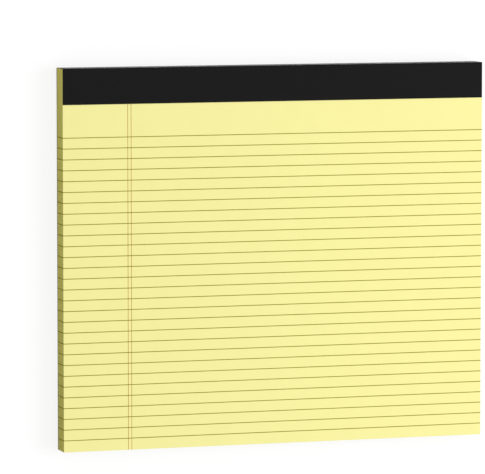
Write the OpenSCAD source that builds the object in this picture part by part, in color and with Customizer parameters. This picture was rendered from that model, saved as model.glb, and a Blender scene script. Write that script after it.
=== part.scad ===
// Landscape legal pad: a block of ruled yellow sheets on a chipboard back, stapled
// through along the head and bound there by a black strip folded over the edge.
// It lies on its back: +Z comes out of the front sheet, +Y points to the bound head,
// and the origin is under the middle of the pad, on the surface that it lies on.

/* [Sheets] */
// Width of the trimmed sheets, along the bound head
sheet_w = 279.4; // [200:0.1:360]
// Height of the trimmed sheets, from the head to the foot
sheet_h = 241.3; // [150:0.1:360]
// Number of sheets in the block
sheet_count = 125; // [30:1:200]
// Thickness of one sheet
sheet_t = 0.107; // [0.06:0.001:0.2]

/* [Backing board] */
// Thickness of the chipboard
board_t = 1.2; // [0.9:0.05:3]

/* [Binding strip] */
// Thickness of the strip
strip_t = 0.2; // [0.1:0.05:0.4]
// Reach of the strip down the front sheet
strip_front = 22.55; // [15:0.05:28]
// Reach of the strip down the back of the board
strip_back = 22.5; // [15:0.1:40]
// Room around the free edge of the strip where it is pressed into the board
strip_room = 0.05; // [0.02:0.01:0.2]

/* [Staples] */
// Number of staples along the head
staple_count = 4; // [2:1:6]
// Distance from the head edge to the middle of the wire
staple_inset = 11; // [7:0.5:13]
// Outside width of a staple
staple_w = 13; // [12:0.1:20]
// Thickness of the wire across its bends
wire_t = 0.5; // [0.4:0.05:0.7]
// Width of the flattened wire
wire_w = 0.7; // [0.5:0.05:1]
// Inside radius of the wire's bends
bend_r = 0.4; // [0.2:0.05:0.6]
// Length of each leg that is folded over on the back
clinch = 5; // [2.5:0.1:5.5]
// Room between the wire and what it is pressed into
wire_room = 0.05; // [0.02:0.01:0.2]

/* [Ruling] */
// Distance from the head edge to the first ruled line
rule_first = 43.25; // [30:0.05:70]
// Distance from one ruled line to the next
rule_pitch = 6.81; // [5:0.01:10]
// Least blank height under the last ruled line
rule_foot = 5; // [2:0.5:20]
// Width of a ruled line
rule_w = 0.5; // [0.15:0.05:0.8]
// Distance from the left edge to the middle of the first margin line
margin_left = 42.2; // [20:0.1:60]
// Distance between the middles of the two margin lines
margin_gap = 2.2; // [1.5:0.1:5]
// Width of a margin line
margin_w = 0.3; // [0.15:0.05:0.8]
// Thickness of the dried ink
ink_t = 0.03; // [0.02:0.01:0.1]

/* [Hidden] */

// Sides on a full circle
$fn = 48;
// How far a cut runs past the face that it opens
past = 1;

paper_t = sheet_count * sheet_t;
front_z = board_t + paper_t;
foot_y = -(sheet_h + strip_t) / 2;
head_y = foot_y + sheet_h;
left_x = -sheet_w / 2;

// The crown lies just under the front sheet's face, and the clinched legs just
// under the face that the strip is pressed into.
crown_top = front_z - wire_room;
crown_low = crown_top - wire_t;
clinch_low = strip_t + wire_room;
clinch_top = clinch_low + wire_t;
leg_out = staple_w / 2;
leg_in = leg_out - wire_t;
staple_y = head_y - staple_inset;
staple_pitch = sheet_w / staple_count;

rule_count = floor((sheet_h - rule_first - rule_foot) / rule_pitch) + 1;
margin_x = [for (i = [0, 1]) left_x + margin_left + i * margin_gap];
// Where the ruled lines start, stop at a margin line, and end
rule_stops = [
    [left_x, margin_x[0] - margin_w / 2],
    [margin_x[0] + margin_w / 2, margin_x[1] - margin_w / 2],
    [margin_x[1] + margin_w / 2, -left_x],
];

// A flat profile in Y and Z, drawn out over the pad's width
module across_width() rotate([90, 0, 90]) linear_extrude(sheet_w, center = true) children();

// A flat profile in X and Z, drawn out to a width along Y at every staple
module at_staples(width)
    for (i = [0 : staple_count - 1])
        translate([left_x + (i + 0.5) * staple_pitch, staple_y, 0])
            rotate([90, 0, 0]) linear_extrude(width, center = true) children();

// A rectangle from one corner to the other, with the same room added all round
module area(low, high, room = 0)
    translate([low[0] - room, low[1] - room])
        square([high[0] - low[0] + 2 * room, high[1] - low[1] + 2 * room]);

module both_sides() {
    children();
    mirror([1, 0]) children();
}

// A quarter of a bend in the wire, outside a centre, towards +X and the given Z
module wire_bend(centre, up) translate(centre) intersection() {
    difference() {
        circle(bend_r + wire_t);
        circle(bend_r);
    }
    mirror([0, up ? 0 : 1]) square(bend_r + wire_t);
}

// Crown, legs and inward clinch of one staple, seen from the foot of the pad
module staple_outline() {
    bend_x = leg_in - bend_r;
    area([-bend_x, crown_low], [bend_x, crown_top]);
    both_sides() {
        wire_bend([bend_x, crown_low - bend_r], true);
        area([leg_in, clinch_top + bend_r], [leg_out, crown_low - bend_r]);
        wire_bend([bend_x, clinch_top + bend_r], false);
        area([leg_out - clinch, clinch_low], [bend_x, clinch_top]);
    }
}

// The slot that a staple is pressed into, open at the front and at the back
module staple_slot() {
    bend_x = leg_in - bend_r;
    area([-leg_out, crown_low], [leg_out, front_z + past], wire_room);
    both_sides() {
        area([bend_x, crown_low - bend_r], [leg_out, crown_low], wire_room);
        area([leg_in, clinch_low], [leg_out, crown_top], wire_room);
        area([bend_x, clinch_top], [leg_out, clinch_top + bend_r], wire_room);
        area([leg_out - clinch, -past], [leg_out, clinch_top], wire_room);
    }
}

module staple_slots() at_staples(wire_w + 2 * wire_room) staple_slot();

// Stiff grey-brown chipboard, pressed in along the head where the strip is stuck
module backing_board() color("#8c7f6c") difference() {
    translate([left_x, foot_y, 0]) cube([sheet_w, sheet_h, board_t]);
    across_width() area([head_y - strip_back - strip_room, -past], [head_y + past, strip_t]);
    staple_slots();
}

// All the sheets, jogged square and trimmed as one block
module paper_block() color("#f9f4a2") difference() {
    translate([left_x, foot_y, board_t]) cube([sheet_w, sheet_h, paper_t]);
    staple_slots();
}

// Flattened steel wire, driven from the front and clinched inwards on the board
module staples() color("#b8bcc0") at_staples(wire_w) staple_outline();

// One strip stuck down the front, over the head and down the back
module binding_strip() color("#1e1e1e") across_width() {
    area([head_y - strip_front, front_z], [head_y, front_z + strip_t]);
    strip_fold(front_z) square(strip_t);
    area([head_y, strip_t], [head_y + strip_t, front_z]);
    strip_fold(strip_t) mirror([0, 1]) square(strip_t);
    area([head_y - strip_back, 0], [head_y, strip_t]);
}

// The rounded outside of the strip where it turns over an edge of the stack
module strip_fold(edge_z) translate([head_y, edge_z]) intersection() {
    circle(strip_t);
    children();
}

// One run of ink on the front sheet
module ink(low, high) translate([low[0], low[1], front_z])
    cube([high[0] - low[0], high[1] - low[1], ink_t]);

// Grey writing lines from edge to edge, broken where the margin lines cross them
module ruled_lines() color("#9b9660")
    for (i = [0 : rule_count - 1], stop = rule_stops) {
        y = head_y - rule_first - i * rule_pitch;
        ink([stop[0], y - rule_w / 2], [stop[1], y + rule_w / 2]);
    }

// Two red lines down the left of the sheet, from the strip to the foot
module margin_lines() color("#c07a5a")
    for (x = margin_x)
        ink([x - margin_w / 2, foot_y], [x + margin_w / 2, head_y - strip_front]);

backing_board();
paper_block();
staples();
binding_strip();
ruled_lines();
margin_lines();
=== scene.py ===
import math
import random
from collections import namedtuple

import bmesh
import bpy
from mathutils import Matrix, Vector


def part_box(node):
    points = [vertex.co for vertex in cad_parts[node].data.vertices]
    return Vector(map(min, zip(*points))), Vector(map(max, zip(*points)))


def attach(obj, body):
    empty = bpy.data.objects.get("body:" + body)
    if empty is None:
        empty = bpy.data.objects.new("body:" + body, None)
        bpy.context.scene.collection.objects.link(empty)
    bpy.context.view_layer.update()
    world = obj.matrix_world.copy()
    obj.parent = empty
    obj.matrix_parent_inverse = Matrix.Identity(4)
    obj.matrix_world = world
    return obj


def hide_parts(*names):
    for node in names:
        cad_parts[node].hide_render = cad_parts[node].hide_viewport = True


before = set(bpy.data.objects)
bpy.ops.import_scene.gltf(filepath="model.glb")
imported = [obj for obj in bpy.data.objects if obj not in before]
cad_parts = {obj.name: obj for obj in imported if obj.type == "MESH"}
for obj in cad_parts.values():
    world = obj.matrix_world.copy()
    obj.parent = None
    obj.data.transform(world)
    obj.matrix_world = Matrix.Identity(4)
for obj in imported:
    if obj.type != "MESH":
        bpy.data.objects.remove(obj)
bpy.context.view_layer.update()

# Backing board
# Stiff grey-brown chipboard, pressed from recycled pulp and cut to the size of the sheets.
# It carries the pad, and the staples are clinched into it under the strip's back flap.

MM = 0.001
CHIP_DARK = (0.225, 0.185, 0.135, 1)
CHIP_PALE = (0.3, 0.25, 0.185, 1)
CHIP_FIBRE = (0.37, 0.315, 0.24, 1)
CHIP_SPECK = (0.09, 0.075, 0.06, 1)
SPECK_SIZE = 1.1 * MM
# Directions that the fibres of pressed pulp lie in, in radians
FIBRE_TURNS = (0.35, -0.6, 1.45)


def place(tree, kind, inputs=None, **settings):
    """Adds a node to a tree, with a value or a link for each input that is given."""
    made = tree.nodes.new(kind)
    for name, value in settings.items():
        setattr(made, name, value)
    for name, value in (inputs or {}).items():
        if isinstance(value, bpy.types.NodeSocket):
            tree.links.new(value, made.inputs[name])
        else:
            made.inputs[name].default_value = value
    return made


def arithmetic(tree, operation, first, second):
    return place(tree, "ShaderNodeMath", {0: first, 1: second}, operation=operation).outputs[0]


def ramp(tree, value, low, high):
    """Amount that goes from 0 to 1 as a value goes from low to high."""
    steps = {"Value": value, "From Min": low, "From Max": high}
    return place(tree, "ShaderNodeMapRange", steps).outputs[0]


def spread(tree, amount, low, high):
    """Value that goes from low to high with an amount."""
    steps = {"Value": amount, "To Min": low, "To Max": high}
    return place(tree, "ShaderNodeMapRange", steps).outputs[0]


def between(tree, amount, low, high):
    """Colour that goes from low to high with an amount."""
    mix = place(tree, "ShaderNodeMix", {0: amount, 6: low, 7: high}, data_type="RGBA")
    return mix.outputs[2]


def on_object(tree):
    """Place on the object, in metres."""
    return place(tree, "ShaderNodeTexCoord").outputs["Object"]


def noise(tree, where, size, detail):
    """Soft noise from 0 to 1, in lumps of a size."""
    scale = arithmetic(tree, "DIVIDE", 1.0, size)
    return place(tree, "ShaderNodeTexNoise", {"Vector": where, "Scale": scale, "Detail": detail}).outputs[0]


def bump(tree, height, depth):
    """Normal of a surface whose height goes from nothing to a depth."""
    return place(tree, "ShaderNodeBump", {"Height": height, "Distance": depth}).outputs[0]


def new_finish(name, specular):
    """A material, its node tree and its shader, for a finish to fill in."""
    finish = bpy.data.materials.new(name)
    finish.use_nodes = True
    shader = finish.node_tree.nodes["Principled BSDF"]
    shader.inputs["Specular IOR Level"].default_value = specular
    return finish, finish.node_tree, shader


def join(tree, shader, **outputs):
    """Links outputs to the shader's inputs of the same names."""
    for name, output in outputs.items():
        tree.links.new(output, shader.inputs[name.replace("_", " ")])


def pulp_group():
    """Felted fibres and the cloudy look of pressed pulp, as two amounts from 0 to 1."""
    group = bpy.data.node_groups.new("pulp", "ShaderNodeTree")
    for size in ("Fibre Length", "Fibre Width", "Cloud Size"):
        group.interface.new_socket(size, in_out="INPUT", socket_type="NodeSocketFloat")
    for amount in ("Fibre", "Cloud"):
        group.interface.new_socket(amount, in_out="OUTPUT", socket_type="NodeSocketFloat")
    given = place(group, "NodeGroupInput").outputs
    where = on_object(group)
    felt = 0.0
    for turn in FIBRE_TURNS:
        turned = place(group, "ShaderNodeVectorRotate", {"Vector": where, "Angle": turn}).outputs[0]
        parts = place(group, "ShaderNodeSeparateXYZ", {"Vector": turned}).outputs
        along = arithmetic(group, "DIVIDE", parts["X"], given["Fibre Length"])
        across = arithmetic(group, "DIVIDE", parts["Y"], given["Fibre Width"])
        deep = arithmetic(group, "DIVIDE", parts["Z"], given["Fibre Width"])
        strand = place(group, "ShaderNodeCombineXYZ", {"X": along, "Y": across, "Z": deep}).outputs[0]
        felt = arithmetic(group, "MAXIMUM", felt, noise(group, strand, size=1.0, detail=2.0))
    cloud = noise(group, where, given["Cloud Size"], detail=3.0)
    amounts = {
        "Fibre": ramp(group, felt, low=0.4, high=0.75),
        "Cloud": ramp(group, cloud, low=0.3, high=0.7),
    }
    place(group, "NodeGroupOutput", amounts)
    return group


pulp = pulp_group()


def pulp_amounts(tree, length, width, cloud):
    """Fibre and cloud of a pulp with fibres of a length and width, and clouds of a size."""
    sizes = {"Fibre Length": length, "Fibre Width": width, "Cloud Size": cloud}
    amounts = place(tree, "ShaderNodeGroup", sizes, node_tree=pulp).outputs
    return amounts["Fibre"], amounts["Cloud"]


def chipboard_finish():
    """Raw board: coarse pale fibres in a cloudy ground, with dark specks of old print."""
    finish, tree, shader = new_finish("chipboard", specular=0.2)
    fibre, cloud = pulp_amounts(tree, length=2.5 * MM, width=0.35 * MM, cloud=9 * MM)
    felt = between(tree, fibre, between(tree, cloud, CHIP_DARK, CHIP_PALE), CHIP_FIBRE)
    specks = ramp(tree, noise(tree, on_object(tree), SPECK_SIZE, detail=1.0), low=0.68, high=0.76)
    join(
        tree,
        shader,
        Base_Color=between(tree, specks, felt, CHIP_SPECK),
        Roughness=spread(tree, fibre, low=0.95, high=0.82),
        Normal=bump(tree, fibre, depth=0.04 * MM),
    )
    return finish


def dress(node, finish):
    """Gives a CAD node its finish."""
    node.data.materials.clear()
    node.data.materials.append(finish)


dress(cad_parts["backing_board"], chipboard_finish())

# Sheet stack
# All the writing sheets under the front one: uncoated canary paper, jogged square at the head
# and trimmed as one block. Each sheet keeps its own cut edge, a hair in or out of its neighbours.

SHEET_T = 0.107 * MM
# How far a cut edge is rounded up the sheet's thickness, and how deep the furrow between two sheets is
CUT_LIP = 0.014 * MM
CUT_DEPTH = 0.05 * MM
# How far a sheet's edges lie inside the trimmed faces of the block
JOG_USUAL = 0.03 * MM
JOG_MOST = 0.07 * MM
# How far a sheet's print lies from the front sheet's
PRINT_USUAL = 0.1 * MM
PRINT_MOST = 0.2 * MM
# How far a cut edge wavers, and how many steps a side is made in
EDGE_WAVE = 0.015 * MM
EDGE_STEPS = 8
SHEET_SEED = 11
# The cut edges are darker and deeper in colour than the face: partly the trimmed paper's own tone and
# partly painted shade, as of light lost between the sheets.
CUT_DEEP_SHADED = (0.722, 0.672, 0.174, 1)
CUT_PALE_SHADED = (0.845, 0.79, 0.231, 1)
CUT_FIBRE_SHADED = (0.629, 0.58, 0.139, 1)

Sheet = namedtuple("Sheet", "z left right foot phase print_x print_y")
block_low, block_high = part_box("paper_block")
sheet_count = round((block_high.z - block_low.z) / SHEET_T)
rng = random.Random(SHEET_SEED)


def scatter(usual, most):
    """Random distance either way, mostly within the usual one and never past the most."""
    return max(-most, min(most, rng.gauss(0, usual)))


def trimmed_sheet(number):
    """A sheet by its place above the board: its height, its three cut edges, their waver, its print."""
    return Sheet(
        z=block_low.z + number * SHEET_T,
        left=abs(scatter(JOG_USUAL, JOG_MOST)),
        right=abs(scatter(JOG_USUAL, JOG_MOST)),
        foot=abs(scatter(JOG_USUAL, JOG_MOST)),
        phase=rng.uniform(0, math.tau),
        print_x=scatter(PRINT_USUAL, PRINT_MOST),
        print_y=scatter(PRINT_USUAL, PRINT_MOST),
    )


def sheet_ring(sheet, z, inset):
    """Outline of a sheet at one height, anticlockwise from the left end of its foot."""
    low_x = block_low.x + sheet.left + inset
    high_x = block_high.x - sheet.right - inset
    low_y = block_low.y + sheet.foot + inset
    high_y = block_high.y - inset
    corners = [Vector((x, low_y, z)) for x in (low_x, high_x)]
    corners += [Vector((x, high_y, z)) for x in (high_x, low_x)]
    ring = []
    for side, start in enumerate(corners):
        end = corners[(side + 1) % len(corners)]
        across = Vector((side % 2, 1 - side % 2, 0))
        for step in range(EDGE_STEPS):
            s = step / EDGE_STEPS
            waver = EDGE_WAVE * math.sin(math.pi * s) * math.sin(math.tau * s + sheet.phase + side)
            ring.append(start.lerp(end, s) + across * waver)
    return ring


def cut_edge(sheet):
    """Rings of a sheet's cut edge from its underside up: the furrow, the wall's foot and its top."""
    return [
        sheet_ring(sheet, sheet.z, CUT_DEPTH),
        sheet_ring(sheet, sheet.z + CUT_LIP, 0),
        sheet_ring(sheet, sheet.z + SHEET_T - CUT_LIP, 0),
    ]


def finished(name, mesh, *finishes):
    """Object of a bmesh, with its finishes in order, riding on the pad."""
    data = bpy.data.meshes.new(name)
    mesh.to_mesh(data)
    mesh.free()
    for finish in finishes:
        data.materials.append(finish)
    piece = bpy.data.objects.new(name, data)
    bpy.context.scene.collection.objects.link(piece)
    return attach(piece, "root")


def loft(name, rings, finish):
    """Closed piece over rings of as many points each, with its ends capped."""
    mesh = bmesh.new()
    loops = [[mesh.verts.new(point) for point in ring] for ring in rings]
    for low, high in zip(loops, loops[1:]):
        for i in range(len(low)):
            mesh.faces.new((low[i - 1], low[i], high[i], high[i - 1]))
    mesh.faces.new(tuple(reversed(loops[0])))
    mesh.faces.new(tuple(loops[-1]))
    return finished(name, mesh, finish)


def cut_edge_finish():
    """Trimmed paper edges: deeper in colour than the sheet's face, partly their own tone and partly painted
    shade, and each sheet a little different.
    """
    finish, tree, shader = new_finish("cut_edges", specular=0.1)
    height = place(tree, "ShaderNodeSeparateXYZ", {"Vector": on_object(tree)}).outputs["Z"]
    above = arithmetic(tree, "SUBTRACT", height, block_low.z)
    number = arithmetic(tree, "FLOOR", arithmetic(tree, "DIVIDE", above, SHEET_T), 0.0)
    tone = place(tree, "ShaderNodeTexWhiteNoise", {"W": number}, noise_dimensions="1D").outputs["Value"]
    fibre, cloud = pulp_amounts(tree, length=0.6 * MM, width=0.12 * MM, cloud=15 * MM)
    sheet = between(tree, tone, CUT_DEEP_SHADED, CUT_PALE_SHADED)
    join(
        tree,
        shader,
        Base_Color=between(tree, spread(tree, fibre, low=0.0, high=0.25), sheet, CUT_FIBRE_SHADED),
        Roughness=spread(tree, cloud, low=0.86, high=0.94),
        Normal=bump(tree, fibre, depth=0.012 * MM),
    )
    return finish


sheets = [trimmed_sheet(number) for number in range(sheet_count)]
# The front sheet's print is where the CAD nodes have it
sheets[-1] = sheets[-1]._replace(print_x=0, print_y=0)
stack_rings = [ring for sheet in sheets[:-1] for ring in cut_edge(sheet)]
stack_rings.append(sheet_ring(sheets[-2], sheets[-1].z, CUT_DEPTH))
sheet_stack = loft("sheet_stack", stack_rings, cut_edge_finish())
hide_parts("paper_block")

# Front sheet
# The top sheet of canary writing paper, the one face of the block that shows whole.
# It is held at the head under the strip, and its other three edges are trimmed.

PAPER_DEEP = (0.925, 0.876, 0.351, 1)
PAPER_PALE = (0.945, 0.896, 0.365, 1)
PAPER_FIBRE = (0.96, 0.911, 0.388, 1)


def writing_paper_finish():
    """Smooth uncoated paper, with fine fibres and a faint cloudiness."""
    finish, tree, shader = new_finish("writing_paper", specular=0.1)
    fibre, cloud = pulp_amounts(tree, length=1.4 * MM, width=0.22 * MM, cloud=14 * MM)
    ground = between(tree, cloud, PAPER_DEEP, PAPER_PALE)
    join(
        tree,
        shader,
        Base_Color=between(tree, spread(tree, fibre, low=0.0, high=0.5), ground, PAPER_FIBRE),
        Roughness=spread(tree, cloud, low=0.8, high=0.9),
        Normal=bump(tree, fibre, depth=0.006 * MM),
    )
    return finish


front_rings = cut_edge(sheets[-1])
front_rings.append(sheet_ring(sheets[-1], block_high.z, CUT_LIP))
front_sheet = loft("front_sheet", front_rings, writing_paper_finish())
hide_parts("paper_block")

# Ruled lines
# Olive-grey writing lines, printed across every sheet before the block was trimmed. They run off
# both sides, so the lines of the whole stack mark its cut edges, each sheet's a little out of line.

RULE_W = 0.5 * MM
RULE_PITCH = 6.81 * MM
INK_T = 0.012 * MM
# How far apart the points of a line's uneven edges are, and how uneven they are
INK_STEP = 6 * MM
INK_WAVER = 0.015 * MM
# How far the ink on a cut edge has run past each side of its line, and how far it stands out
INK_RUN = 0.03 * MM
INK_PROUD = EDGE_WAVE + 0.004 * MM
# Size of the grain in the ink's cover
INK_GRAIN = 0.25 * MM
RULE_THIN = (0.34, 0.312, 0.02, 1)
RULE_FULL = (0.265, 0.24, 0.006, 1)

rules_low, rules_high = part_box("ruled_lines")
rule_count = round((rules_high.y - rules_low.y - RULE_W) / RULE_PITCH) + 1
rule_places = [rules_high.y - RULE_W / 2 - i * RULE_PITCH for i in range(rule_count)]


def press_ink_group():
    """How well the ink covers the paper, from 0 to 1: grain of the plate over the fibres."""
    group = bpy.data.node_groups.new("press_ink", "ShaderNodeTree")
    group.interface.new_socket("Grain", in_out="INPUT", socket_type="NodeSocketFloat")
    group.interface.new_socket("Cover", in_out="OUTPUT", socket_type="NodeSocketFloat")
    size = place(group, "NodeGroupInput").outputs["Grain"]
    grain = noise(group, on_object(group), size, detail=2.0)
    place(group, "NodeGroupOutput", {"Cover": ramp(group, grain, low=0.25, high=0.55)})
    return group


press_ink = press_ink_group()


def ink_finish(name, thin, full):
    """Line ink on yellow paper, from its thinnest to its fullest colour."""
    finish, tree, shader = new_finish(name, specular=0.1)
    cover = place(tree, "ShaderNodeGroup", {"Grain": INK_GRAIN}, node_tree=press_ink).outputs["Cover"]
    join(
        tree,
        shader,
        Base_Color=between(tree, cover, thin, full),
        Roughness=spread(tree, cover, low=0.85, high=0.72),
    )
    return finish


def printed_line(mesh, start, end, width):
    """Thin film of ink from one point to another, with slightly uneven edges."""
    run = end - start
    across = Vector((-run.y, run.x, 0)).normalized()
    rise = Vector((0, 0, INK_T))
    steps = round(run.length / INK_STEP)
    loops = []
    for i in range(steps + 1):
        middle = start + run * (i / steps)
        right = middle - across * (width / 2 + rng.uniform(-INK_WAVER, INK_WAVER))
        left = middle + across * (width / 2 + rng.uniform(-INK_WAVER, INK_WAVER))
        loops.append([mesh.verts.new(point) for point in (right, left, left + rise, right + rise)])
    for low, high in zip(loops, loops[1:]):
        for i in range(len(low)):
            mesh.faces.new((low[i], low[i - 1], high[i - 1], high[i]))
    mesh.faces.new(loops[0])
    mesh.faces.new(tuple(reversed(loops[-1])))


def box(mesh, low, high, slot=0):
    """Closed box between two corners."""
    verts = [
        mesh.verts.new((x, y, z))
        for z in (low[2], high[2])
        for x, y in ((low[0], low[1]), (high[0], low[1]), (high[0], high[1]), (low[0], high[1]))
    ]
    faces = ((3, 2, 1, 0), (4, 5, 6, 7), (0, 1, 5, 4), (1, 2, 6, 5), (2, 3, 7, 6), (3, 0, 4, 7))
    for face in faces:
        mesh.faces.new([verts[i] for i in face]).material_index = slot


rule_mesh = bmesh.new()
front_left = block_low.x + sheets[-1].left + CUT_LIP
front_right = block_high.x - sheets[-1].right - CUT_LIP
for y in rule_places:
    start = Vector((front_left, y, block_high.z))
    end = Vector((front_right, y, block_high.z))
    printed_line(rule_mesh, start, end, RULE_W)
for sheet in sheets:
    left = block_low.x + sheet.left
    right = block_high.x - sheet.right
    low_z = sheet.z + CUT_LIP
    high_z = sheet.z + SHEET_T - CUT_LIP
    for y in rule_places:
        low_y = y + sheet.print_y - RULE_W / 2 - INK_RUN
        high_y = y + sheet.print_y + RULE_W / 2 + INK_RUN
        box(rule_mesh, (left - INK_PROUD, low_y, low_z), (left + CUT_DEPTH, high_y, high_z))
        box(rule_mesh, (right - CUT_DEPTH, low_y, low_z), (right + INK_PROUD, high_y, high_z))
ruled_lines = finished("ruled_lines_ink", rule_mesh, ink_finish("rule_ink", RULE_THIN, RULE_FULL))
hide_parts("ruled_lines")

# Margin lines
# Two red lines printed down the left of the sheet over the writing lines, so the ink
# is darker at the crossings. They run from under the strip off the foot of the sheet.

MARGIN_W = 0.3 * MM
# How far the red ink lies over the ruled lines
MARGIN_LIFT = 0.002 * MM
MARGIN_THIN = (0.54, 0.25, 0.04, 1)
MARGIN_FULL = (0.44, 0.145, 0.014, 1)
CROSSING_THIN = (0.22, 0.12, 0.03, 1)
CROSSING_FULL = (0.14, 0.07, 0.015, 1)

margin_low, margin_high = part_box("margin_lines")
margin_places = (margin_low.x + MARGIN_W / 2, margin_high.x - MARGIN_W / 2)
# Where a margin line starts, comes to and leaves each ruled line, and ends
margin_stops = [margin_low.y + sheets[-1].foot + CUT_LIP]
for y in reversed(rule_places):
    margin_stops += [y - RULE_W / 2, y + RULE_W / 2]
margin_stops.append(margin_high.y)

margin_mesh = bmesh.new()
for x in margin_places:
    for i, (low_y, high_y) in enumerate(zip(margin_stops, margin_stops[1:])):
        low = (x - MARGIN_W / 2, low_y, block_high.z)
        high = (x + MARGIN_W / 2, high_y, block_high.z + INK_T + MARGIN_LIFT)
        box(margin_mesh, low, high, slot=i % 2)
    for sheet in sheets:
        foot = block_low.y + sheet.foot
        low_x = x + sheet.print_x - MARGIN_W / 2
        low = (low_x, foot - INK_PROUD, sheet.z + CUT_LIP)
        high = (low_x + MARGIN_W, foot + CUT_DEPTH, sheet.z + SHEET_T - CUT_LIP)
        box(margin_mesh, low, high)
margin_ink = ink_finish("margin_ink", MARGIN_THIN, MARGIN_FULL)
crossing_ink = ink_finish("crossing_ink", CROSSING_THIN, CROSSING_FULL)
margin_lines = finished("margin_lines_ink", margin_mesh, margin_ink, crossing_ink)
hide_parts("margin_lines")

# Staples
# Flattened steel wire, driven through the sheets and clinched on the board. The strip
# covers them, so they show only where it is lifted.

WIRE_DARK = (0.5, 0.51, 0.53, 1)
WIRE_PALE = (0.6, 0.61, 0.62, 1)
# Width of the lines that drawing leaves along the wire
DRAWN_LINE = 0.04 * MM


def wire_finish():
    """Bright drawn steel, with fine lines along the wire that change only across its width."""
    finish, tree, shader = new_finish("staple_wire", specular=0.5)
    shader.inputs["Metallic"].default_value = 1.0
    across = place(tree, "ShaderNodeSeparateXYZ", {"Vector": on_object(tree)}).outputs["Y"]
    width = place(tree, "ShaderNodeCombineXYZ", {"Y": across}).outputs[0]
    lines = noise(tree, width, DRAWN_LINE, detail=2.0)
    join(
        tree,
        shader,
        Base_Color=between(tree, lines, WIRE_DARK, WIRE_PALE),
        Roughness=spread(tree, lines, low=0.22, high=0.4),
        Normal=bump(tree, lines, depth=0.004 * MM),
    )
    return finish


dress(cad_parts["staples"], wire_finish())

# Binding strip
# One strip of matte black binding paper, glued down the front, folded over the head and
# glued down the back. Its two long edges are cut, and it is trimmed off with the sheets' sides.

STRIP_DARK = (0.0034, 0.0034, 0.0034, 1)
STRIP_PALE = (0.0046, 0.0046, 0.0046, 1)
STRIP_FIBRE = (0.0096, 0.0096, 0.0096, 1)
# How much the felt shines at a low angle, and how wide that shine is
STRIP_SHEEN = 0.5
STRIP_SHEEN_WIDTH = 0.2


def binding_paper_finish():
    """Black paper, dyed through, with a fine felt of short fibres that catch light at a low angle."""
    finish, tree, shader = new_finish("binding_paper", specular=0.077)
    shader.inputs["Sheen Weight"].default_value = STRIP_SHEEN
    shader.inputs["Sheen Roughness"].default_value = STRIP_SHEEN_WIDTH
    fibre, cloud = pulp_amounts(tree, length=1.1 * MM, width=0.13 * MM, cloud=11 * MM)
    ground = between(tree, cloud, STRIP_DARK, STRIP_PALE)
    join(
        tree,
        shader,
        Base_Color=between(tree, fibre, ground, STRIP_FIBRE),
        Roughness=spread(tree, fibre, low=0.6, high=0.76),
        Normal=bump(tree, fibre, depth=0.03 * MM),
    )
    return finish


dress(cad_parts["binding_strip"], binding_paper_finish())

# Floor
# A plain white sweep under the pad. Near the pad it takes the shadow, and further off
# it fades to an even white. It throws less light back on the pad towards the foot.

FLOOR_REACH = 6.0
# How far the floor lies under the pad, so that the two faces don't fall together
FLOOR_DROP = 0.02 * MM
# How far from the pad's middle the fade to white starts and ends
FADE_FROM = 0.3
FADE_TO = 0.9
# What the floor throws back on the pad, from the least at its foot to the most at a place past its middle
BOUNCE_LEAST = (0.1, 0.1, 0.1, 1)
BOUNCE_MOST = (0.37, 0.37, 0.37, 1)
BOUNCE_MOST_AT = 30 * MM
# What shows of the floor: a part that takes the shadow, and a lift
FLOOR_SHADED = (0.2, 0.2, 0.2, 1)
FLOOR_LIFT = 0.823


def seen_rays(tree):
    """1 for what the camera sees, directly, in gloss or through glass, and 0 for what lights the pad."""
    path = place(tree, "ShaderNodeLightPath").outputs
    seen = arithmetic(tree, "MAXIMUM", path["Is Camera Ray"], path["Is Glossy Ray"])
    return arithmetic(tree, "MAXIMUM", seen, path["Is Transmission Ray"])


def sweep_finish():
    """White sweep, whose look to the camera and in gloss is apart from the light that it throws back."""
    finish = bpy.data.materials.new("white_sweep")
    finish.use_nodes = True
    tree = finish.node_tree
    tree.nodes.clear()
    along = place(tree, "ShaderNodeSeparateXYZ", {"Vector": on_object(tree)}).outputs["Y"]
    headward = ramp(tree, along, low=block_low.y, high=BOUNCE_MOST_AT)
    thrown = between(tree, headward, BOUNCE_LEAST, BOUNCE_MOST)
    bounce = place(tree, "ShaderNodeBsdfDiffuse", {"Color": thrown}).outputs[0]
    shaded = place(tree, "ShaderNodeBsdfDiffuse", {"Color": FLOOR_SHADED}).outputs[0]
    lift = place(tree, "ShaderNodeEmission", {"Strength": FLOOR_LIFT}).outputs[0]
    near = place(tree, "ShaderNodeAddShader", {0: shaded, 1: lift}).outputs[0]
    white = place(tree, "ShaderNodeEmission", {"Strength": 1.0}).outputs[0]
    reach = place(tree, "ShaderNodeVectorMath", {0: on_object(tree)}, operation="LENGTH").outputs["Value"]
    steps = {"Value": reach, "From Min": FADE_FROM, "From Max": FADE_TO}
    fade = place(tree, "ShaderNodeMapRange", steps, interpolation_type="SMOOTHSTEP").outputs[0]
    shown = place(tree, "ShaderNodeMixShader", {0: fade, 1: near, 2: white}).outputs[0]
    mixed = place(tree, "ShaderNodeMixShader", {0: seen_rays(tree), 1: bounce, 2: shown}).outputs[0]
    place(tree, "ShaderNodeOutputMaterial", {"Surface": mixed})
    return finish


floor_mesh = bmesh.new()
bmesh.ops.create_grid(floor_mesh, x_segments=1, y_segments=1, size=FLOOR_REACH)
floor_data = bpy.data.meshes.new("floor")
floor_mesh.to_mesh(floor_data)
floor_mesh.free()
floor_data.materials.append(sweep_finish())
floor = bpy.data.objects.new("floor", floor_data)
floor.location.z = -FLOOR_DROP
bpy.context.scene.collection.objects.link(floor)

# Studio light
# An even white room, and one large soft lamp on the right, which leaves the left side
# of the pad in shade and makes the sheet a little brighter towards the right.

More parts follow.
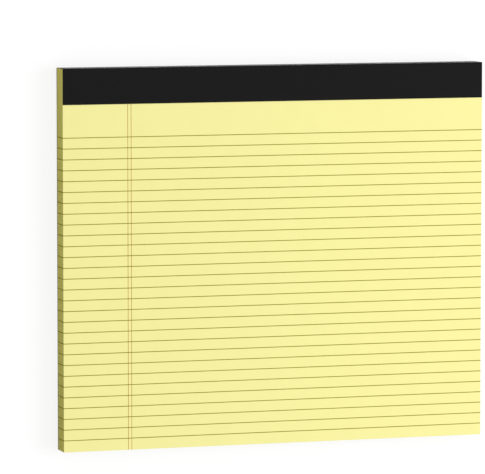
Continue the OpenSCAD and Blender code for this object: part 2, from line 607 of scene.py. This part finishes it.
ROOM_LIGHT = 0.65
LAMP_PLACE = Vector((1.21, 0, 1.31))
LAMP_SIZE = 0.93
LAMP_WATTS = 16.3

world = bpy.data.worlds.new("studio")
world.use_nodes = True
bpy.context.scene.world = world
room = world.node_tree
background = room.nodes["Background"]
background.inputs["Color"].default_value = (1, 1, 1, 1)
room.links.new(arithmetic(room, "MAXIMUM", seen_rays(room), ROOM_LIGHT), background.inputs["Strength"])

lamp_data = bpy.data.lights.new("lamp", "AREA")
lamp_data.size = LAMP_SIZE
lamp_data.energy = LAMP_WATTS
lamp = bpy.data.objects.new("lamp", lamp_data)
lamp.location = LAMP_PLACE
lamp.rotation_euler = LAMP_PLACE.to_track_quat("Z", "Y").to_euler()
lamp.visible_camera = False
bpy.context.scene.collection.objects.link(lamp)

# Camera
# It looks down on the pad as it lies on its back, from the left and a little past the head,
# so the front sheet and the left side have the shape that they have in the photograph.

# Width of the picture and the lens's focal length in its pixels, and the sensor's width in millimetres
PHOTO_W = 485
FOCAL_PIXELS = 4204.9
SENSOR = 36
VIEW_TURN = math.radians(-17.529)
VIEW_TILT = math.radians(-5.229)
# From the middle of the front sheet to the camera, in the camera's own directions
VIEW_ACROSS = -20.96 * MM
VIEW_UP = 11.61 * MM
VIEW_DISTANCE = 2675.1 * MM
VIEW_END = 20

camera_data = bpy.data.cameras.new("camera")
camera_data.sensor_fit = "HORIZONTAL"
camera_data.sensor_width = SENSOR
camera_data.lens = FOCAL_PIXELS * SENSOR / PHOTO_W
camera_data.clip_end = VIEW_END
camera = bpy.data.objects.new("camera", camera_data)
turn = Matrix.Rotation(VIEW_TURN, 4, "Y") @ Matrix.Rotation(VIEW_TILT, 4, "X")
sheet_middle = (block_low + block_high) / 2
sheet_middle.z = block_high.z
offset = turn @ Vector((VIEW_ACROSS, VIEW_UP, VIEW_DISTANCE))
camera.matrix_world = Matrix.Translation(sheet_middle + offset) @ turn
bpy.context.scene.collection.objects.link(camera)
bpy.context.scene.camera = camera
bpy.context.scene.view_settings.view_transform = "Standard"
